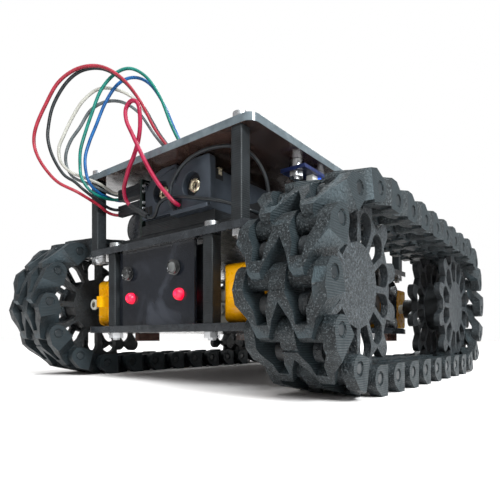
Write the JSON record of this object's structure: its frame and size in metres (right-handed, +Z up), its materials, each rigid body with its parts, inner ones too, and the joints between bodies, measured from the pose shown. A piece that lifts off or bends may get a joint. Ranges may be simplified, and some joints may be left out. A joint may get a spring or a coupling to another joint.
{
  "type": "tracked robot chassis",
  "caption": "Open-frame tracked robot chassis with toothed wheels, printed link tracks, geared motors and stacked decks carrying a sensor panel, cell holders and wiring.",
  "frame": {"origin": "middle of the footprint on the ground under the tracks", "axes": "+X to the right of the chassis, +Y to its rear, +Z up; the sensor panel faces -Y"},
  "size_m": [0.181, 0.2016, 0.1427],
  "materials": {
    "black_acrylic": "gloss",
    "smoked_acrylic": "gloss",
    "black_print": "layered",
    "track_print": "layered",
    "disc_grey": "textured",
    "disc_black": "textured",
    "yellow_plastic": "moulded",
    "zinc": "zinc plated",
    "can_steel": "drawn",
    "cap_white": "moulded",
    "shaft_nylon": "moulded",
    "panel_gloss": "polished",
    "pcb_black": "solder mask",
    "pcb_blue": "solder mask",
    "black_plastic": "moulded",
    "led_red": "clear",
    "cell_wrap": "shrink wrap",
    "contact_nickel": "plated",
    "cap_sleeve": "shrink sleeve",
    "wire_red": "extruded",
    "wire_black": "extruded",
    "wire_white": "extruded",
    "wire_grey": "extruded",
    "wire_green": "extruded",
    "wire_blue": "extruded",
    "lead_pink": "extruded"
  },
  "bodies": {
    "chassis": {"bottom_plate": "black_acrylic", "middle_plate": "black_acrylic", "deck_tray": "black_print", "top_plate": "smoked_acrylic", "lower_posts": "black_print", "upper_posts": "black_print", "post_bolts": "zinc", "sensor_panel": "panel_gloss", "sensor_board": "pcb_black", "ir_receivers": "black_plastic", "signal_leds": "led_red", "front_right_gearbox": "yellow_plastic", "front_left_gearbox": "yellow_plastic", "rear_right_gearbox": "yellow_plastic", "rear_left_gearbox": "yellow_plastic", "motor_cans": "can_steel", "motor_caps": "cap_white", "motor_brackets": "smoked_acrylic", "bracket_bolts": "zinc", "battery_riser": "black_print", "right_battery_holder": "black_plastic", "left_battery_holder": "black_plastic", "battery_cells": "cell_wrap", "battery_contacts": "contact_nickel", "driver_board": "pcb_black", "capacitor": "cap_sleeve", "side_board": "pcb_blue", "right_track_top": "track_print", "right_track_rear": "track_print", "right_track_bottom": "track_print", "right_track_front": "track_print", "left_track_top": "track_print", "left_track_rear": "track_print", "left_track_bottom": "track_print", "left_track_front": "track_print", "track_pins": "black_print", "jumper_red": "wire_red", "jumper_black": "wire_black", "jumper_white": "wire_white", "jumper_grey": "wire_grey", "jumper_green": "wire_green", "jumper_blue": "wire_blue", "jumper_housings": "black_plastic", "terminal_block": "black_plastic", "battery_lead_red": "lead_pink", "battery_lead_black": "wire_black", "link_lead_black": "wire_black", "lead_sleeve": "black_plastic"},
    "front_right_wheel": {"front_right_outer_disc": "disc_grey", "front_right_inner_disc": "disc_black", "front_right_shaft": "shaft_nylon"},
    "front_left_wheel": {"front_left_outer_disc": "disc_grey", "front_left_inner_disc": "disc_black", "front_left_shaft": "shaft_nylon"},
    "rear_right_wheel": {"rear_right_outer_disc": "disc_grey", "rear_right_inner_disc": "disc_black", "rear_right_shaft": "shaft_nylon"},
    "rear_left_wheel": {"rear_left_outer_disc": "disc_grey", "rear_left_inner_disc": "disc_black", "rear_left_shaft": "shaft_nylon"}
  },
  "joints": [
    {"name": "front_right_wheel_spin", "type": "hinge", "parent": "chassis", "child": "front_right_wheel", "pos_m": [0.075, -0.062, 0.03594], "axis": [1, 0, 0], "continuous": true},
    {"name": "front_left_wheel_spin", "type": "hinge", "parent": "chassis", "child": "front_left_wheel", "pos_m": [-0.075, -0.062, 0.03594], "axis": [1, 0, 0], "continuous": true},
    {"name": "rear_right_wheel_spin", "type": "hinge", "parent": "chassis", "child": "rear_right_wheel", "pos_m": [0.075, 0.062, 0.03594], "axis": [1, 0, 0], "continuous": true},
    {"name": "rear_left_wheel_spin", "type": "hinge", "parent": "chassis", "child": "rear_left_wheel", "pos_m": [-0.075, 0.062, 0.03594], "axis": [1, 0, 0], "continuous": true}
  ]
}
